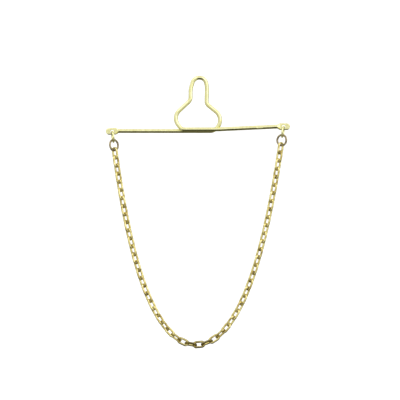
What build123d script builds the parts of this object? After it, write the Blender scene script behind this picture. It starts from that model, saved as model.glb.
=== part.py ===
from build123d import *
import math
import os

# A tie chain. One gold-tone wire is bent into a bar with a keyhole button loop, and a cable chain
# hangs from its two flattened ends. Millimetres, +Z up. The bar runs along X, the button's shank
# passes through the loop along Y, and the origin is where the shank sits, at the loop's inner top.

# Driving dimensions: the bar wire
BAR_WIRE_DIA = 1.15
ARM_HEIGHT = -14.65  # left arm's centreline below the button seat
LAY_OFFSET = 0.6  # half the side-by-side spacing where the wire passes itself
FRONT_ARM_LIFT = 0.45  # the front wire crosses this much above the back wire
NECK_HALF_WIDTH = 2.35  # centreline of the loop's neck, which holds the shank

# Driving dimensions: the flattened and pierced ends
PADDLE_THICKNESS = 0.45
PADDLE_WIDTH = 1.95
PADDLE_TAPER = 0.9  # length over which round wire becomes flat
PADDLE_PAST_HOLE = 0.85  # flat part that goes on past the hole, before its round end
PADDLE_ROOT_HALF_WIDTH = 0.4
WEDGE_END = (0.18, 0.6)  # half thickness and half width of the wire's beaten end, inside the paddle
HOLE_DIA = 1.0
LEFT_HOLE = (-24.75, -14.8)
RIGHT_HOLE = (24.25, -13.4)

# Driving dimensions: rings and chain links
CONNECTOR_DIA = 3.5
CONNECTOR_WIRE_DIA = 0.5
JUMP_RING_DIA = 3.62
JUMP_RING_WIRE_DIA = 0.58
LINK_LENGTH = 3.67
LINK_WIDTH = 2.2
LINK_WIRE_DIA = 0.62
LINK_COUNT = 55
PLAY = 0.08  # slack between two pieces where they hook together
CHAIN_LEAN = 0.002  # sideways pull on each piece, as a share of the pull at the lowest one
CHAIN_SET = 0.15  # extra slope of both halves, because a worn chain hangs a little narrow
SET_REACH = 4  # the extra slope builds up over this many pieces beside the lowest one

# Turn of each piece about its own length: 0 shows its face along Y, 90 shows its edge
CONNECTOR_ROLL = 81
LEFT_JUMP_ROLL = -43
RIGHT_JUMP_ROLL = -35
LINK_ROLL = 45  # odd links turn this way, even links the other way
BOTTOM_TWIST = 22  # extra turn at the bottom, where every second link lies flatter
TWIST_REACH = 6  # the extra turn fades out over this many links
BOTTOM_LINK = 28

# The loop's corners, (x, z, bend radius), in the wire's order: up the right side, down the left
LOOP_CORNERS = [
    (6.95, -10.77, 3.1),
    (2.2, -6.9, 1.6),
    (NECK_HALF_WIDTH, -2.1, 6.0),
    (1.75, BAR_WIRE_DIA / 2, 1.9),
    (-1.35, BAR_WIRE_DIA / 2, 2.0),
    (-NECK_HALF_WIDTH, -2.6, 6.0),
    (-NECK_HALF_WIDTH, -5.85, 2.0),
    (-7.6, -10.7, 3.0),
]
BACK_TURN = (4.8, 2.8)  # x and bend radius where the back wire turns up into the loop
FRONT_TURN = (-4.9, 1.6)  # x and bend radius where the loop comes down into the front arm
ARM_BEND_X = 5.4  # both arms bend a little here, to come back into one plane at their ends
ARM_BEND_RADIUS = 20.0

BISECTION_STEPS = 50
SHARPEST_CURVE = 1.0


def solve(function, low, high):
    """Value between low and high at which a falling function passes zero."""
    for _ in range(BISECTION_STEPS):
        middle = (low + high) / 2
        if function(middle) > 0:
            low = middle
        else:
            high = middle
    return (low + high) / 2


def hanging_points(reaches, start, end):
    """Pivots of rigid pieces that hang between two pins, almost as a catenary."""

    def direction(curve, lowest, index):
        beyond = index - lowest
        across = 1 + CHAIN_LEAN * beyond
        up = curve * beyond + CHAIN_SET * max(-1, min(beyond / SET_REACH, 1))
        return across / math.hypot(across, up), up / math.hypot(across, up)

    def miss(curve, lowest):
        """How far across and up from the end pin the last piece ends."""
        across = start.X - end.X
        up = start.Z - end.Z
        for index, reach in enumerate(reaches):
            along, rise = direction(curve, lowest, index)
            across += reach * along
            up += reach * rise
        return across, up

    def lowest_piece(curve):
        return solve(lambda lowest: miss(curve, lowest)[1], 0, len(reaches))

    curve = solve(lambda value: miss(value, lowest_piece(value))[0], 0, SHARPEST_CURVE)
    lowest = lowest_piece(curve)
    points = [start]
    for index, reach in enumerate(reaches):
        along, rise = direction(curve, lowest, index)
        points.append(points[-1] + Vector(along, 0, rise) * reach)
    return points


def piece_plane(centre, along, roll):
    """Plane in which a ring or link lies: its x axis follows the chain."""
    facing = Vector(0, -1, 0).rotate(Axis((0, 0, 0), along), roll)
    return Plane(origin=centre, x_dir=along, z_dir=facing)


def link_roll(number):
    """Turn of a chain link about its own length."""
    fade = min(abs(number - BOTTOM_LINK) / TWIST_REACH, 1)
    side = LINK_ROLL if number % 2 else -LINK_ROLL
    return side + BOTTOM_TWIST * math.cos(fade * math.pi / 2) ** 2


# Where the pieces hook together, from the left paddle hole along the chain to the right one
CONNECTOR_RADIUS = (CONNECTOR_DIA - CONNECTOR_WIRE_DIA) / 2
CONNECTOR_REACH = 2 * CONNECTOR_RADIUS - (CONNECTOR_WIRE_DIA + PLAY) / 2
JUMP_RING_REACH = JUMP_RING_DIA - 2 * JUMP_RING_WIRE_DIA - PLAY
LINK_REACH = LINK_LENGTH - 2 * LINK_WIRE_DIA - PLAY
END_REACHES = [CONNECTOR_REACH, JUMP_RING_REACH]
REACHES = END_REACHES + [LINK_REACH] * LINK_COUNT + END_REACHES[::-1]
LEFT_PIN = Vector(LEFT_HOLE[0], 0, LEFT_HOLE[1])
RIGHT_PIN = Vector(RIGHT_HOLE[0], 0, RIGHT_HOLE[1])
PIVOTS = hanging_points(REACHES, LEFT_PIN, RIGHT_PIN)

os.makedirs("parts", exist_ok=True)


# ---- Bar wire: the two arms, the button loop and the pierced paddles ----

def paddle_root(hole, inward):
    """Where the round wire ends: inward is +1 on the left end and -1 on the right end."""
    return hole[0] + inward * (PADDLE_WIDTH / 2 + PADDLE_TAPER)


def bar_route():
    """Corners and bend radii of the wire, from the left paddle to the right one."""
    left_x = paddle_root(LEFT_HOLE, 1)
    right_x = paddle_root(RIGHT_HOLE, -1)
    front_height = ARM_HEIGHT + FRONT_ARM_LIFT
    corners = [(left_x, 0, ARM_HEIGHT), (-ARM_BEND_X, LAY_OFFSET, ARM_HEIGHT)]
    radii = [ARM_BEND_RADIUS]
    corners.append((BACK_TURN[0], LAY_OFFSET, ARM_HEIGHT))
    radii.append(BACK_TURN[1])
    steps = len(LOOP_CORNERS) + 1
    for index, (x, z, radius) in enumerate(LOOP_CORNERS, start=1):
        corners.append((x, LAY_OFFSET * (1 - 2 * index / steps), z))
        radii.append(radius)
    corners.append((FRONT_TURN[0], -LAY_OFFSET, front_height))
    radii.append(FRONT_TURN[1])
    corners.append((ARM_BEND_X, -LAY_OFFSET, front_height))
    radii.append(ARM_BEND_RADIUS)
    corners.append((right_x, 0, RIGHT_HOLE[1]))
    return corners, radii


def paddle_outline(hole, inward):
    """Corners of the flattened end, from its narrow root to where its round tip starts."""
    root = paddle_root(hole, inward)
    flat = root - inward * PADDLE_TAPER
    tip = hole[0] - inward * PADDLE_PAST_HOLE
    half = PADDLE_WIDTH / 2
    upper = [(root, hole[1] + PADDLE_ROOT_HALF_WIDTH), (flat, hole[1] + half), (tip, hole[1] + half)]
    lower = [(tip, hole[1] - half), (flat, hole[1] - half), (root, hole[1] - PADDLE_ROOT_HALF_WIDTH)]
    return upper + lower


corners, radii = bar_route()
with BuildPart() as bar_wire:
    with BuildLine() as route:
        FilletPolyline(*corners, radius=radii)
    wire_path = route.wires()[0]
    with BuildSketch(Plane(origin=wire_path @ 0, z_dir=wire_path % 0)):
        Circle(BAR_WIRE_DIA / 2)
    sweep(path=wire_path)
    for hole, inward, end in ((LEFT_HOLE, 1, 0), (RIGHT_HOLE, -1, 1)):
        with BuildSketch(Plane(origin=wire_path @ end, z_dir=wire_path % end)):
            Circle(BAR_WIRE_DIA / 2)
        with BuildSketch(Plane.YZ.offset(paddle_root(hole, inward) - inward * PADDLE_TAPER)):
            with Locations((0, hole[1])):
                Ellipse(WEDGE_END[0], WEDGE_END[1])
        loft()
        with BuildSketch(Plane.XZ):
            with BuildLine():
                Polyline(*paddle_outline(hole, inward), close=True)
            make_face()
            with Locations((hole[0] - inward * PADDLE_PAST_HOLE, hole[1])):
                Circle(PADDLE_WIDTH / 2)
            with Locations(hole):
                Circle(HOLE_DIA / 2, mode=Mode.SUBTRACT)
        extrude(amount=PADDLE_THICKNESS / 2, both=True)
bar_wire.part.label = "bar_wire"
export_step(bar_wire.part, "parts/bar_wire.step")


# ---- Rings and chain links ----

def write_ring(name, centre, along, roll, outer_dia, wire_dia):
    """A closed ring of round wire."""
    radius = (outer_dia - wire_dia) / 2
    plane = piece_plane(centre, along, roll)
    section = Plane(origin=plane.from_local_coords(Vector(radius, 0, 0)), z_dir=plane.y_dir)
    with BuildPart() as ring:
        with BuildLine(plane) as path:
            CenterArc((0, 0), radius, 0, 360)
        with BuildSketch(section):
            Circle(wire_dia / 2)
        sweep(path=path.wires()[0])
    ring.part.label = name
    export_step(ring.part, f"parts/{name}.step")


def write_link(number):
    """A closed chain link: two straight sides joined by two half rings."""
    name = f"chain_link_{number:02d}"
    start = PIVOTS[number + 1]
    end = PIVOTS[number + 2]
    plane = piece_plane((start + end) / 2, end - start, link_roll(number))
    bend = (LINK_WIDTH - LINK_WIRE_DIA) / 2
    side = (LINK_LENGTH - LINK_WIDTH) / 2
    section = Plane(origin=plane.from_local_coords(Vector(0, bend, 0)), z_dir=plane.x_dir)
    with BuildPart() as link:
        with BuildLine(plane) as path:
            Line((-side, bend), (side, bend))
            ThreePointArc((side, bend), (side + bend, 0), (side, -bend))
            Line((side, -bend), (-side, -bend))
            ThreePointArc((-side, -bend), (-side - bend, 0), (-side, bend))
        with BuildSketch(section):
            Circle(LINK_WIRE_DIA / 2)
        sweep(path=path.wires()[0])
    link.part.label = name
    export_step(link.part, f"parts/{name}.step")


left_down = (PIVOTS[1] - PIVOTS[0]).normalized()
right_up = (PIVOTS[-1] - PIVOTS[-2]).normalized()
left_centre = PIVOTS[0] + left_down * CONNECTOR_RADIUS
right_centre = PIVOTS[-1] - right_up * CONNECTOR_RADIUS
write_ring("connector_ring_left", left_centre, left_down, CONNECTOR_ROLL, CONNECTOR_DIA, CONNECTOR_WIRE_DIA)
write_ring("connector_ring_right", right_centre, right_up, CONNECTOR_ROLL, CONNECTOR_DIA, CONNECTOR_WIRE_DIA)

left_jump = (PIVOTS[1] + PIVOTS[2]) / 2
right_jump = (PIVOTS[-2] + PIVOTS[-3]) / 2
write_ring(
    "jump_ring_left", left_jump, PIVOTS[2] - PIVOTS[1], LEFT_JUMP_ROLL, JUMP_RING_DIA, JUMP_RING_WIRE_DIA
)
write_ring(
    "jump_ring_right", right_jump, PIVOTS[-2] - PIVOTS[-3], RIGHT_JUMP_ROLL, JUMP_RING_DIA, JUMP_RING_WIRE_DIA
)

for number in range(1, LINK_COUNT + 1):
    write_link(number)
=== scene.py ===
import math
import random

import bmesh
import bpy
import numpy as np
from mathutils import Matrix, Vector


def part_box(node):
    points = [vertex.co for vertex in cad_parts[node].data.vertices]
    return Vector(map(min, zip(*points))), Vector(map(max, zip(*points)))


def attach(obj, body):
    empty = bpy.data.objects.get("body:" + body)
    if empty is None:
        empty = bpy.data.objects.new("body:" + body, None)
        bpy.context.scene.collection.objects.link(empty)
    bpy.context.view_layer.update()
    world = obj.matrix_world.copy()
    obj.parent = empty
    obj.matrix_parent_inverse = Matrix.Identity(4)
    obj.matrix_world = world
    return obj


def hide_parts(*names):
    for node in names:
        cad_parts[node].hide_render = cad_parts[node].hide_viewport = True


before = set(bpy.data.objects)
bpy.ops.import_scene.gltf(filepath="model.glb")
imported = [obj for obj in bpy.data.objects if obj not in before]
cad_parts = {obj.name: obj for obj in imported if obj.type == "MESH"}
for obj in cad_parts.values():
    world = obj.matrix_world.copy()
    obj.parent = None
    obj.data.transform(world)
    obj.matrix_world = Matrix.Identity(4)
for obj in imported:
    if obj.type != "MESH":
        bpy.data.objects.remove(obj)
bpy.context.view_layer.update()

MM = 0.001

# Sizes of the wires and rings, in millimetres
BAR_WIRE_RADIUS = 0.575
CONNECTOR = {"length": 3.5, "width": 3.5, "wire": 0.5}
JUMP_RING = {"length": 3.62, "width": 3.62, "wire": 0.58}
CHAIN_LINK = {"length": 3.67, "width": 2.2, "wire": 0.62}
LINK_COUNT = 55

# The bar's flattened and pierced ends
PADDLE_HALF_WIDTH = 0.975
PADDLE_HALF_THICKNESS = 0.225
PADDLE_PAST_HOLE = 0.85
PADDLE_TAPER = 0.9
HOLE_RADIUS = 0.5
LEFT_HOLE = (-24.75, -14.8)  # x and z of the hole's middle
RIGHT_HOLE = (24.25, -13.4)

# The bar wire's route: the wire passes itself under the loop, the back wire lower than the front one
ARM_HEIGHT = -14.65
FRONT_ARM_HEIGHT = -14.2
LAY_OFFSET = 0.6  # how far the front and back wires lie before and behind the middle
ARM_BEND = (5.4, 20.0)  # distance from the middle and radius of the slight bend in each arm
BACK_TURN = (4.8, 2.8)  # x and bend radius where the back wire turns up into the loop
FRONT_TURN = (-4.9, 1.6)  # x and bend radius where the loop comes down into the front arm
PADDLE_BEND_RADIUS = 6.0

# The loop's corners, (x, z, bend radius): up the right side, down the left
LOOP_CORNERS = [
    (6.95, -10.77, 3.1),
    (2.2, -6.9, 1.6),
    (2.35, -2.1, 6.0),
    (1.75, BAR_WIRE_RADIUS, 1.9),
    (-1.35, BAR_WIRE_RADIUS, 2.0),
    (-2.35, -2.6, 6.0),
    (-2.35, -5.85, 2.0),
    (-7.6, -10.7, 3.0),
]


def bar_route():
    """Corners of the bar wire as (x, y, z, bend radius), from the left paddle's tip to the right one's."""
    tip = PADDLE_PAST_HOLE + PADDLE_HALF_WIDTH
    root = PADDLE_HALF_WIDTH + PADDLE_TAPER
    corners = [
        (LEFT_HOLE[0] - tip, 0.0, LEFT_HOLE[1], 0.0),
        (LEFT_HOLE[0] + root, 0.0, ARM_HEIGHT, PADDLE_BEND_RADIUS),
        (-ARM_BEND[0], LAY_OFFSET, ARM_HEIGHT, ARM_BEND[1]),
        (BACK_TURN[0], LAY_OFFSET, ARM_HEIGHT, BACK_TURN[1]),
    ]
    steps = len(LOOP_CORNERS) + 1
    for index, (x, z, radius) in enumerate(LOOP_CORNERS, start=1):
        corners.append((x, LAY_OFFSET * (1 - 2 * index / steps), z, radius))
    corners.append((FRONT_TURN[0], -LAY_OFFSET, FRONT_ARM_HEIGHT, FRONT_TURN[1]))
    corners.append((ARM_BEND[0], -LAY_OFFSET, FRONT_ARM_HEIGHT, ARM_BEND[1]))
    corners.append((RIGHT_HOLE[0] - root, 0.0, RIGHT_HOLE[1], PADDLE_BEND_RADIUS))
    corners.append((RIGHT_HOLE[0] + tip, 0.0, RIGHT_HOLE[1], 0.0))
    return corners


# ---- Camera ----

# The camera looks straight at the front; its frame is this wide at the object's plane
FRAME_WIDTH = 114.3 * MM
FRAME_CENTRE = Vector((0.34, 0.0, -34.36)) * MM
CAMERA_DISTANCE = 0.9
SENSOR_WIDTH = 36.0
CLIP_RANGE = (0.01, 20.0)


def add_camera():
    """A camera straight in front of the object."""
    data = bpy.data.cameras.new("camera")
    data.sensor_width = SENSOR_WIDTH
    data.lens = SENSOR_WIDTH * CAMERA_DISTANCE / FRAME_WIDTH
    data.clip_start, data.clip_end = CLIP_RANGE
    camera = bpy.data.objects.new("camera", data)
    bpy.context.scene.collection.objects.link(camera)
    camera.location = FRAME_CENTRE + Vector((0, -CAMERA_DISTANCE, 0))
    camera.rotation_euler = (math.pi / 2, 0, 0)
    bpy.context.scene.camera = camera


add_camera()


# ---- Materials ----

NOISE_ROUGHNESS = 0.55  # of the noise patterns that name no other


def add_node(tree, kind, **settings):
    """A new shader node with its properties and unlinked inputs set."""
    node = tree.nodes.new(kind)
    for name, value in settings.items():
        if hasattr(node, name):
            setattr(node, name, value)
        else:
            node.inputs[name.replace("_", " ")].default_value = value
    return node


def add_noise(tree, vector, scale, detail, roughness=NOISE_ROUGHNESS):
    """Noise between 0 and 1 over a vector."""
    node = add_node(tree, "ShaderNodeTexNoise", Scale=scale, Detail=detail, Roughness=roughness)
    tree.links.new(vector, node.inputs["Vector"])
    return node.outputs["Fac"]


def add_ramp(tree, value, stops):
    """Colour ramp from (position, colour) stops."""
    node = tree.nodes.new("ShaderNodeValToRGB")
    ramp = node.color_ramp
    while len(ramp.elements) < len(stops):
        ramp.elements.new(0.5)
    for element, (position, colour) in zip(ramp.elements, stops):
        element.position = position
        element.color = (*colour, 1.0)
    tree.links.new(value, node.inputs["Fac"])
    return node.outputs["Color"]


def add_mix(tree, factor, first, second):
    """Colour between two others, which are sockets or fixed colours."""
    node = tree.nodes.new("ShaderNodeMix")
    node.data_type = "RGBA"
    tree.links.new(factor, node.inputs["Factor"])
    for socket, value in ((node.inputs["A"], first), (node.inputs["B"], second)):
        if isinstance(value, tuple):
            socket.default_value = (*value, 1.0)
        else:
            tree.links.new(value, socket)
    return node.outputs["Result"]


def add_product(tree, first, second):
    """One colour multiplied by another."""
    node = tree.nodes.new("ShaderNodeMix")
    node.data_type = "RGBA"
    node.blend_type = "MULTIPLY"
    node.inputs["Factor"].default_value = 1.0
    tree.links.new(first, node.inputs["A"])
    tree.links.new(second, node.inputs["B"])
    return node.outputs["Result"]


def add_range(tree, value, low, high, to_low=0.0, to_high=1.0):
    """A value moved from one range into another, and kept within it."""
    node = tree.nodes.new("ShaderNodeMapRange")
    for name, number in (("From Min", low), ("From Max", high), ("To Min", to_low), ("To Max", to_high)):
        node.inputs[name].default_value = number
    tree.links.new(value, node.inputs["Value"])
    return node.outputs["Result"]


def add_math(tree, operation, first, second):
    """Result of a maths node on two values, which are sockets or fixed numbers."""
    node = add_node(tree, "ShaderNodeMath", operation=operation)
    for socket, value in zip(node.inputs, (first, second)):
        if isinstance(value, float):
            socket.default_value = value
        else:
            tree.links.new(value, socket)
    return node.outputs["Value"]


# The plate's patterns: noise scale in repeats per metre, detail and, for some, roughness
CLOUDS = (900.0, 4.0)
SPOTS = (420.0, 6.0, 0.65)
SMEARS = (1500.0, 3.0)
DENTS = (2600.0, 2.0)
LINES = (1.0, 5.0, 0.7)
LINE_STRETCH = (0.6, 22.0, 1.0)  # repeats per millimetre: long along the wire and fine across it

CLOUD_STOPS = (0.3, 0.5, 0.7)
SPOT_RANGE = (0.60, 0.72)  # only the highest peaks of the noise become spots
SMEAR_RANGE = (0.3, 0.7)
SPOT_ROUGHNESS = 0.25
LINE_HEIGHT = 0.35
BUMP_STRENGTH = 0.22
BUMP_HEIGHT = 0.00002

# Dark olive of the painted shade where links hook together and on the lowest links
PAINTED_SHADE = (0.13, 0.095, 0.03)
EDGE_TINT = (0.80, 0.76, 0.50)
BAR_TONES = ((0.82, 0.78, 0.37), (0.88, 0.85, 0.45), (0.94, 0.91, 0.54))
CHAIN_TONES = ((0.34, 0.25, 0.07), (0.74, 0.64, 0.26), (0.97, 0.89, 0.50))
JUMP_TONES = ((0.20, 0.15, 0.10), (0.32, 0.26, 0.16), (0.54, 0.46, 0.27))
BROWN = (0.42, 0.22, 0.08)
GREY_BROWN = (0.30, 0.24, 0.18)


def gold_material(name, tones, tarnish, tarnish_amount, roughness):
    """Gold-tone plate: cloudy colour, tarnish spots, painted shade in the hooks and on the lowest links,
    and fine lines along the wire.
    """
    material = bpy.data.materials.new(name)
    material.use_nodes = True
    tree = material.node_tree
    shader = tree.nodes["Principled BSDF"]
    shader.inputs["Metallic"].default_value = 1.0
    shader.inputs["Specular Tint"].default_value = (*EDGE_TINT, 1.0)
    place = tree.nodes.new("ShaderNodeTexCoord").outputs["Object"]
    along = add_node(tree, "ShaderNodeAttribute", attribute_name="along_wire").outputs["Vector"]
    # Share of painted shade at each point, stored on the wire's mesh
    painted_shade = add_node(tree, "ShaderNodeAttribute", attribute_name="painted_shade").outputs["Fac"]

    clouds = add_noise(tree, place, *CLOUDS)
    colour = add_ramp(tree, clouds, list(zip(CLOUD_STOPS, tones)))
    spots = add_noise(tree, place, *SPOTS)
    spotted = add_range(tree, spots, *SPOT_RANGE, 0.0, tarnish_amount)
    colour = add_mix(tree, spotted, colour, tarnish)
    # Painted shade mixed over the plate colour
    colour = add_mix(tree, painted_shade, colour, PAINTED_SHADE)
    tree.links.new(colour, shader.inputs["Base Color"])

    smears = add_noise(tree, place, *SMEARS)
    rough = add_range(tree, smears, *SMEAR_RANGE, *roughness)
    rough = add_math(tree, "ADD", rough, add_math(tree, "MULTIPLY", spotted, SPOT_ROUGHNESS))
    tree.links.new(rough, shader.inputs["Roughness"])

    stretch = add_node(tree, "ShaderNodeVectorMath", operation="MULTIPLY")
    stretch.inputs[1].default_value = LINE_STRETCH
    tree.links.new(along, stretch.inputs[0])
    lines = add_noise(tree, stretch.outputs["Vector"], *LINES)
    dents = add_noise(tree, place, *DENTS)
    height = add_math(tree, "ADD", add_math(tree, "MULTIPLY", lines, LINE_HEIGHT), dents)
    bump = add_node(tree, "ShaderNodeBump", Strength=BUMP_STRENGTH, Distance=BUMP_HEIGHT)
    tree.links.new(height, bump.inputs["Height"])
    tree.links.new(bump.outputs["Normal"], shader.inputs["Normal"])
    return material


# Each of the record's slots: tones, tarnish, amount of tarnish, and range of roughness
FINISHES = {
    "bar_gold": gold_material("bar_plate", BAR_TONES, BROWN, 0.25, (0.10, 0.20)),
    "chain_gold": gold_material("chain_plate", CHAIN_TONES, BROWN, 0.75, (0.12, 0.26)),
    "jump_ring_gold": gold_material("jump_ring_plate", JUMP_TONES, GREY_BROWN, 0.7, (0.18, 0.34)),
}


# ---- Wire geometry ----

ROUND_POWER = 2.0  # squareness of a round section


def filleted_route(corners, step):
    """Points along straight runs joined by tangent arcs."""
    points = [Vector(corners[0][:3])]
    for before, corner, after in zip(corners, corners[1:], corners[2:]):
        here = Vector(corner[:3])
        back = (Vector(before[:3]) - here).normalized()
        ahead = (Vector(after[:3]) - here).normalized()
        half_turn = (math.pi - back.angle(ahead)) / 2
        reach = corner[3] * math.tan(half_turn)
        centre = here + (back + ahead).normalized() * (corner[3] / math.cos(half_turn))
        start = here + back * reach
        spoke = start - centre
        axis = spoke.cross(here + ahead * reach - centre).normalized()
        pieces = max(2, math.ceil(2 * half_turn * corner[3] / step))
        for index in range(pieces + 1):
            turn = Matrix.Rotation(2 * half_turn * index / pieces, 3, axis)
            points.append(centre + turn @ spoke)
    points.append(Vector(corners[-1][:3]))
    return points


def evenly(points, step):
    """Points of a polyline spaced evenly by about step, and their distances along it."""
    marks = [0.0]
    for first, second in zip(points, points[1:]):
        marks.append(marks[-1] + (second - first).length)
    wanted = np.linspace(0.0, marks[-1], round(marks[-1] / step) + 1)
    columns = [np.interp(wanted, marks, [p[axis] for p in points]) for axis in range(3)]
    return [Vector(p) for p in zip(*columns)], wanted


def smooth_step(value):
    """Eases from 0 to 1 as a value goes from 0 to 1."""
    value = min(max(value, 0.0), 1.0)
    return value * value * (3 - 2 * value)


def superellipse(half_a, half_b, power, count):
    """Closed outline of a section, as (a, b) offsets."""
    outline = []
    for index in range(count):
        turn = 2 * math.pi * index / count
        a = math.copysign(abs(math.cos(turn)) ** (2 / power), math.cos(turn)) * half_a
        b = math.copysign(abs(math.sin(turn)) ** (2 / power), math.sin(turn)) * half_b
        outline.append((a, b))
    return outline


def tube_faces(rows, count, closed):
    """Faces of a tube through rows of points, which closes on itself or has a cap at each end."""
    faces = []
    for row in range(rows if closed else rows - 1):
        next_row = (row + 1) % rows
        for column in range(count):
            next_column = (column + 1) % count
            corners = ((row, column), (row, next_column), (next_row, next_column), (next_row, column))
            faces.append(tuple(line * count + place for line, place in corners))
    if not closed:
        faces.append(tuple(reversed(range(count))))
        faces.append(tuple(range((rows - 1) * count, rows * count)))
    return faces


def add_attribute(mesh, name, kind, field, values):
    """Stores a value or a vector for each point of a mesh, which the materials read."""
    mesh.attributes.new(name, kind, "POINT")
    mesh.attributes[name].data.foreach_set(field, np.array(values, np.float32).ravel())


def skin(name, rings, closed, marks, girth, painted_shade):
    """Mesh of a wire through rings of points in millimetres."""
    count = len(rings[0])
    vertices = [point * MM for ring in rings for point in ring]
    mesh = bpy.data.meshes.new(name)
    mesh.from_pydata(vertices, [], tube_faces(len(rings), count, closed))
    work = bmesh.new()
    work.from_mesh(mesh)
    bmesh.ops.recalc_face_normals(work, faces=work.faces)
    work.to_mesh(mesh)
    work.free()
    along = [(mark, girth * column / count, 0.0) for mark in marks for column in range(count)]
    add_attribute(mesh, "along_wire", "FLOAT_VECTOR", "vector", along)
    # Share of painted shade at each point, which the plate material mixes in
    add_attribute(mesh, "painted_shade", "FLOAT", "value", painted_shade)
    mesh.shade_smooth()
    piece = bpy.data.objects.new(name, mesh)
    bpy.context.scene.collection.objects.link(piece)
    return piece


def finish_piece(piece, node, body, finish):
    """Puts the piece in place of its CAD node, in the finish of one of the record's slots."""
    piece.data.materials.append(FINISHES[finish])
    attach(piece, body)
    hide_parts(node)


# ---- Rings and chain links ----

SECTION_POINTS = 20
LOOP_STATIONS = 132

# The joint in a ring or link is a soldered bead with a fine groove.
# Their heights are shares of the wire's radius, and their lengths are in millimetres.
SEAM_BEAD = 0.035
SEAM_BEAD_LENGTH = 0.22
SEAM_GROOVE = 0.05
SEAM_GROOVE_LENGTH = 0.03
RING_SEAMS = (0.25, 0.75)  # where a round ring's joint may be, as shares of its outline

# At a jump ring's joint the two ends stand a little aside and apart, in millimetres
CUT_STEP = 0.09
CUT_BEND_LENGTH = 0.9
CUT_TOWARD = (0.8, -0.6)  # outward and upward parts of the direction from the ring's middle to its cut

# The wire's unevenness: swells in one lap of the ring, and their least and greatest share of its radius
WAVE_ORDERS = (2, 3, 4)
WAVE_SHARES = (0.004, 0.012)

# Painted shade sits on the inner side of the wire at both ends of a link, where the neighbours hook in.
# It starts at these shares of the half length and of the wire's radius, and is full this much further.
HOOK_START = 0.86
HOOK_FADE = 0.12
INNER_START = 0.5
INNER_FADE = 0.5

# The lowest links carry painted shade on their outer side too, less so with each link away from the bottom
# one
BOTTOM_LINK = 28
BOTTOM_PAINTED_SHADE = 0.95
BOTTOM_PAINTED_SHADE_REACH = 3.0
OUTER_START = -0.5625  # a little inside the wire's middle, as a share of its radius
OUTER_FADE = 1.25


def node_axes(node):
    """Centre of a ring-shaped CAD node, and its long, wide and thin directions, in millimetres."""
    low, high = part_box(node)
    places = np.array([v.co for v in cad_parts[node].data.vertices], float)
    _, directions = np.linalg.eigh(np.cov(places.T))
    return (low + high) / 2 / MM, [Vector(directions[:, column]) for column in (2, 1, 0)]


def lap_length(length, width):
    """Length of a rounded-end outline, once round."""
    return 2 * (length - width) + math.pi * width


def stadium(length, width, mark):
    """Point and outward direction at a distance along a rounded-end outline."""
    bend = width / 2
    side = (length - width) / 2
    mark = mark % lap_length(length, width)
    if mark < 2 * side:
        return (mark - side, bend), (0.0, 1.0)
    mark -= 2 * side
    if mark < math.pi * bend:
        turn = math.pi / 2 - mark / bend
        return (side + bend * math.cos(turn), bend * math.sin(turn)), (math.cos(turn), math.sin(turn))
    mark -= math.pi * bend
    if mark < 2 * side:
        return (side - mark, -bend), (0.0, -1.0)
    turn = -math.pi / 2 - (mark - 2 * side) / bend
    return (-side + bend * math.cos(turn), bend * math.sin(turn)), (math.cos(turn), math.sin(turn))


def furthest_mark(axes, length, width, toward):
    """Distance along a ring's outline at which it reaches furthest in a direction."""
    lap = lap_length(length, width)

    def reach(mark):
        (x, y), _ = stadium(length, width, mark)
        return (axes[0] * x + axes[1] * y).dot(toward)

    return max((lap * index / LOOP_STATIONS for index in range(LOOP_STATIONS)), key=reach)


def wire_swell(mark, past, lap, waves):
    """Swelling of a ring's wire at a mark, past its joint, as a share of the wire's radius."""
    swell = SEAM_BEAD * math.exp(-((past / SEAM_BEAD_LENGTH) ** 2))
    swell -= SEAM_GROOVE * math.exp(-((past / SEAM_GROOVE_LENGTH) ** 2))
    for order, phase, share in waves:
        swell += share * math.sin(order * 2 * math.pi * mark / lap + phase)
    return swell


def beside_cut(place, past, out, thin_axis):
    """A place of a jump ring's wire, moved aside and apart as it comes near the cut."""
    fade = math.exp(-((past / CUT_BEND_LENGTH) ** 2))
    place = place + thin_axis * math.copysign(CUT_STEP, past) * fade
    return place + out * (CUT_STEP if past > 0 else 0.0) * fade


def loop_painted_shade(along, outward, outer_painted_shade):
    """Painted shade inside a link's two ends and on its outer side.

    along is the place as a share of the half length, and outward runs from -1 inside to 1 outside.
    """
    inner = smooth_step((-outward - INNER_START) / INNER_FADE)
    hook = inner * smooth_step((along - HOOK_START) / HOOK_FADE)
    return max(hook, outer_painted_shade * smooth_step((outward - OUTER_START) / OUTER_FADE))


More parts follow.
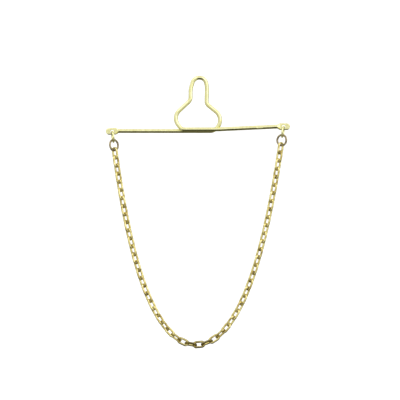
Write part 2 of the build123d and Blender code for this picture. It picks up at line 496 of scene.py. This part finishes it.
def loop_piece(name, node, sizes, finish, seed, cut_toward=None, outer_painted_shade=0.0):
    """A ring or link of wire, slightly uneven, with its joint and painted shade.

    A ring with cut_toward has its joint on that side, with its two ends aside and apart.
    """
    dice = random.Random(seed)
    centre, axes = node_axes(node)
    long_axis, wide_axis, thin_axis = axes
    length = sizes["length"] - sizes["wire"]
    width = sizes["width"] - sizes["wire"]
    radius = sizes["wire"] / 2
    lap = lap_length(length, width)
    seam_at = dice.choice(RING_SEAMS) * lap if length == width else (length - width) / 2
    if cut_toward:
        seam_at = furthest_mark(axes, length, width, cut_toward)
    waves = [(order, dice.uniform(0, 2 * math.pi), dice.uniform(*WAVE_SHARES)) for order in WAVE_ORDERS]
    rings, marks, painted_shade = [], [], []
    for station in range(LOOP_STATIONS):
        mark = lap * station / LOOP_STATIONS
        past = (mark - seam_at + lap / 2) % lap - lap / 2
        (x, y), (out_x, out_y) = stadium(length, width, mark)
        out = long_axis * out_x + wide_axis * out_y
        place = centre + long_axis * x + wide_axis * y
        if cut_toward:
            place = beside_cut(place, past, out, thin_axis)
        swell = wire_swell(mark, past, lap, waves)
        section = superellipse(radius, radius, ROUND_POWER, SECTION_POINTS)
        rings.append([place + (out * a + thin_axis * b) * (1 + swell) for a, b in section])
        marks.append(mark)
        # Painted shade inside the hooked ends, and on the outer side of the lowest links
        painted_shade.append([loop_painted_shade(abs(x) * 2 / length, a / radius, outer_painted_shade) for a, _ in section])
    piece = skin(name, rings, True, marks, 2 * math.pi * radius, painted_shade)
    finish_piece(piece, node, node, finish)


def add_loops():
    """The connector rings, the jump rings and the links of the chain."""
    for side, outward in (("left", -1), ("right", 1)):
        node = f"connector_ring_{side}"
        loop_piece(f"connector_wire_{side}", node, CONNECTOR, "bar_gold", f"connector {side}")
        node = f"jump_ring_{side}"
        cut_toward = Vector((outward * CUT_TOWARD[0], 0.0, CUT_TOWARD[1]))
        loop_piece(f"jump_wire_{side}", node, JUMP_RING, "jump_ring_gold", f"jump {side}", cut_toward)
    for number in range(1, LINK_COUNT + 1):
        node = f"chain_link_{number:02d}"
        # Painted shade on the outer side, strongest on the bottom link
        outer_painted_shade = BOTTOM_PAINTED_SHADE * math.exp(-(((number - BOTTOM_LINK) / BOTTOM_PAINTED_SHADE_REACH) ** 2))
        name = f"link_wire_{number:02d}"
        loop_piece(name, node, CHAIN_LINK, "chain_gold", number, outer_painted_shade=outer_painted_shade)


add_loops()


# ---- Bar wire ----

BAR_SECTION_POINTS = 36
PADDLE_FLAT_LENGTH = PADDLE_PAST_HOLE + 2 * PADDLE_HALF_WIDTH
BAR_STEP = 0.09
COINED_FLAT = (16.6, 18.3)  # a small plain flat struck on the front of the right arm
COINED_DEPTH = 0.05
RIM_ROUNDING = 0.14
FLAT_POWER = 2.6  # what a flat section adds to the squareness of a round one
LEAST_TIP_WIDTH = 0.02  # half width at the very tip
LEAST_TIP_SHARE = 0.02  # square of the share of the thickness that is left there

# The hole's edge: distance from the middle of the paddle, and how far it flares out there
HOLE_PROFILE = [(0.6, 0.5), (0.3, 0.12), (0.225, 0.07), (0.16, 0.02), (0.1, 0.0)]
HOLE_POINTS = 48
SHARP_ANGLE = 38.0  # degrees; sharper edges are not shaded smooth


def bar_section(from_tip):
    """Half width, half thickness and squareness of the wire at a distance from its nearer tip."""
    flat = 1 - smooth_step((from_tip - PADDLE_FLAT_LENGTH) / PADDLE_TAPER)
    width = BAR_WIRE_RADIUS + (PADDLE_HALF_WIDTH - BAR_WIRE_RADIUS) * flat
    thickness = BAR_WIRE_RADIUS + (PADDLE_HALF_THICKNESS - BAR_WIRE_RADIUS) * flat
    into_tip = max(PADDLE_HALF_WIDTH - from_tip, 0.0)
    width = math.sqrt(max(width**2 - into_tip**2, LEAST_TIP_WIDTH**2))
    rim = max(1 - from_tip / RIM_ROUNDING, 0.0)
    thickness *= math.sqrt(max(1 - rim**2, LEAST_TIP_SHARE))
    return width, thickness, ROUND_POWER + FLAT_POWER * flat


def add_bar():
    """The bar wire in one skin, with its loop, its flattened ends and the plain struck flat."""
    points, marks = evenly(filleted_route(bar_route(), BAR_STEP), BAR_STEP)
    total = marks[-1]
    rings = []
    for index, point in enumerate(points):
        ahead = points[min(index + 1, len(points) - 1)] - points[max(index - 1, 0)]
        ahead.normalize()
        side = Vector((0, 1, 0)) - ahead * ahead.y
        side.normalize()
        up = side.cross(ahead)
        width, thickness, power = bar_section(min(marks[index], total - marks[index]))
        in_flat = point.y < 0 and COINED_FLAT[0] < point.x < COINED_FLAT[1]
        ring = []
        for a, b in superellipse(width, thickness, power, BAR_SECTION_POINTS):
            if in_flat:
                b = max(b, -thickness + COINED_DEPTH)
            ring.append(point + up * a + side * b)
        rings.append(ring)
    # The bar wire has no painted shade
    painted_shade = [[0.0] * BAR_SECTION_POINTS for _ in rings]
    piece = skin("bar_wire_polished", rings, False, marks, 2 * math.pi * BAR_WIRE_RADIUS, painted_shade)
    pierce(piece)
    finish_piece(piece, "bar_wire", "bar", "bar_gold")


def hole_cutter(hole):
    """A spool whose waist is the hole and whose flares round the hole's edges."""
    cutter_mesh = bpy.data.meshes.new("cutter")
    cutter = bpy.data.objects.new("cutter", cutter_mesh)
    bpy.context.scene.collection.objects.link(cutter)
    stations = [(-y, flare) for y, flare in HOLE_PROFILE] + HOLE_PROFILE[::-1]
    work = bmesh.new()
    loops = []
    for y, flare in stations:
        ring = []
        for index in range(HOLE_POINTS):
            turn = 2 * math.pi * index / HOLE_POINTS
            radius = HOLE_RADIUS + flare
            place = (hole[0] + radius * math.cos(turn), y, hole[1] + radius * math.sin(turn))
            ring.append(work.verts.new(Vector(place) * MM))
        loops.append(ring)
    for first, second in zip(loops, loops[1:]):
        for index in range(HOLE_POINTS):
            following = (index + 1) % HOLE_POINTS
            work.faces.new((first[index], first[following], second[following], second[index]))
    work.faces.new(loops[0])
    work.faces.new(loops[-1])
    bmesh.ops.recalc_face_normals(work, faces=work.faces)
    work.to_mesh(cutter_mesh)
    work.free()
    return cutter


def pierce(piece):
    """Cuts the two paddle holes."""
    for hole in (LEFT_HOLE, RIGHT_HOLE):
        cutter = hole_cutter(hole)
        modifier = piece.modifiers.new("hole", "BOOLEAN")
        modifier.operation = "DIFFERENCE"
        modifier.solver = "EXACT"
        modifier.object = cutter
        bpy.context.view_layer.update()
        graph = bpy.context.evaluated_depsgraph_get()
        pierced = bpy.data.meshes.new_from_object(piece.evaluated_get(graph))
        piece.modifiers.clear()
        piece.data = pierced
        bpy.data.objects.remove(cutter)
    piece.data.shade_smooth()
    piece.data.set_sharp_from_angle(angle=math.radians(SHARP_ANGLE))


add_bar()


# ---- Floor, backdrop and light ----

# The paper that runs up behind the object, in metres
FLOOR_HEIGHT = -0.118
SWEEP_BACK = 1.7
SWEEP_RADIUS = 0.4
SWEEP_HALF_WIDTH = 2.2
SWEEP_FRONT = -1.6
SWEEP_TOP = 1.4
SWEEP_STEPS = 12

FIBRE = (60.0, 4.0)
FIBRE_TONES = [(0.3, (0.90, 0.90, 0.90)), (0.7, (0.93, 0.93, 0.93))]
PAPER_ROUGHNESS = 0.9
PAPER_SHINE = 0.2


def paper_material():
    """Matt white paper with a faint fibre pattern."""
    material = bpy.data.materials.new("paper")
    material.use_nodes = True
    tree = material.node_tree
    shader = tree.nodes["Principled BSDF"]
    place = tree.nodes.new("ShaderNodeTexCoord").outputs["Object"]
    white = add_ramp(tree, add_noise(tree, place, *FIBRE), FIBRE_TONES)
    tree.links.new(white, shader.inputs["Base Color"])
    shader.inputs["Roughness"].default_value = PAPER_ROUGHNESS
    shader.inputs["Specular IOR Level"].default_value = PAPER_SHINE
    return material


def add_sweep():
    """Pale paper that runs from the floor up behind the object."""
    profile = [(SWEEP_FRONT, FLOOR_HEIGHT), (SWEEP_BACK - SWEEP_RADIUS, FLOOR_HEIGHT)]
    for step in range(1, SWEEP_STEPS + 1):
        turn = math.pi / 2 * step / SWEEP_STEPS
        y = SWEEP_BACK - SWEEP_RADIUS + SWEEP_RADIUS * math.sin(turn)
        profile.append((y, FLOOR_HEIGHT + SWEEP_RADIUS * (1 - math.cos(turn))))
    profile.append((SWEEP_BACK, SWEEP_TOP))
    vertices = []
    for y, z in profile:
        vertices.append((-SWEEP_HALF_WIDTH, y, z))
        vertices.append((SWEEP_HALF_WIDTH, y, z))
    faces = [(2 * i, 2 * i + 1, 2 * i + 3, 2 * i + 2) for i in range(len(profile) - 1)]
    mesh = bpy.data.meshes.new("paper_sweep")
    mesh.from_pydata(vertices, [], faces)
    mesh.shade_smooth()
    mesh.materials.append(paper_material())
    sweep = bpy.data.objects.new("paper_sweep", mesh)
    bpy.context.scene.collection.objects.link(sweep)
    sweep.visible_glossy = False


def add_area(name, place, size, power, target=FRAME_CENTRE):
    """A square soft light that points at a target."""
    data = bpy.data.lights.new(name, "AREA")
    data.shape = "SQUARE"
    data.size = size
    data.energy = power
    light = bpy.data.objects.new(name, data)
    bpy.context.scene.collection.objects.link(light)
    light.location = place
    light.rotation_euler = (target - place).to_track_quat("-Z", "Y").to_euler()
    return light


# Brightness of the tent from straight down (0) to straight up (1), and from front (0) to back (1)
TENT_BY_HEIGHT = [
    (0.0, (0.4, 0.4, 0.35)),
    (0.1, (0.5, 0.5, 0.45)),
    (0.2, (0.6, 0.6, 0.55)),
    (0.5, (0.9, 0.9, 0.88)),
    (0.7, (1.0, 1.0, 1.0)),
]
TENT_BY_DEPTH = [(0.4, (1.0, 1.0, 1.0)), (0.8, (0.5, 0.5, 0.42))]
OVERHEAD = (0.1, 0.5)  # heights between which the darkening towards the back fades out

# A narrow dark card below and in front, which lines the undersides of level wires.
# Each of its edges is a pair of values: where the card starts, and where it is fully dark.
DARK_CARD = (0.015, 0.015, 0.004)
CARD_HEIGHT = (-0.12, -0.25)
CARD_SIDE = (0.05, -0.05)
CARD_BACK = (0.05, -0.15)
CARD_SPREAD = 0.5  # the card widens downwards by this much


def add_world():
    """A soft white tent, darker behind the object, with the dark card below it in front."""
    world = bpy.data.worlds.new("surround")
    bpy.context.scene.world = world
    world.use_nodes = True
    tree = world.node_tree
    background = tree.nodes["Background"]
    direction = tree.nodes.new("ShaderNodeTexCoord").outputs["Generated"]
    split = tree.nodes.new("ShaderNodeSeparateXYZ")
    tree.links.new(direction, split.inputs[0])
    x, y, z = (split.outputs[axis] for axis in "XYZ")
    rise = add_ramp(tree, add_range(tree, z, -1.0, 1.0), TENT_BY_HEIGHT)
    back = add_ramp(tree, add_range(tree, y, -1.0, 1.0), TENT_BY_DEPTH)
    shade = add_mix(tree, add_range(tree, z, *OVERHEAD), back, (1.0, 1.0, 1.0))
    tent = add_product(tree, rise, shade)

    sideways = add_math(tree, "ABSOLUTE", x, 0.0)
    spread = add_math(tree, "ADD", sideways, add_math(tree, "MULTIPLY", z, CARD_SPREAD))
    card = add_range(tree, z, *CARD_HEIGHT)
    card = add_math(tree, "MULTIPLY", card, add_range(tree, spread, *CARD_SIDE))
    card = add_math(tree, "MULTIPLY", card, add_range(tree, y, *CARD_BACK))
    tree.links.new(add_mix(tree, card, tent, DARK_CARD), background.inputs["Color"])
    background.inputs["Strength"].default_value = 1.0


# Each light's place, size in metres and power in watts, and what the last one points at
KEY_LIGHT = (Vector((-0.35, -0.45, 0.65)), 0.5, 1.2)
FILL_LIGHT = (Vector((0.5, -0.5, 0.2)), 0.6, 1.1)
BACKDROP_LIGHT = (Vector((0.0, 1.0, 1.1)), 1.2, 5.0, Vector((0.0, 1.6, -0.05)))

add_sweep()
add_world()
add_area("key", *KEY_LIGHT)
add_area("fill", *FILL_LIGHT)
add_area("backdrop_light", *BACKDROP_LIGHT).visible_glossy = False

bpy.context.scene.view_settings.view_transform = "Standard"
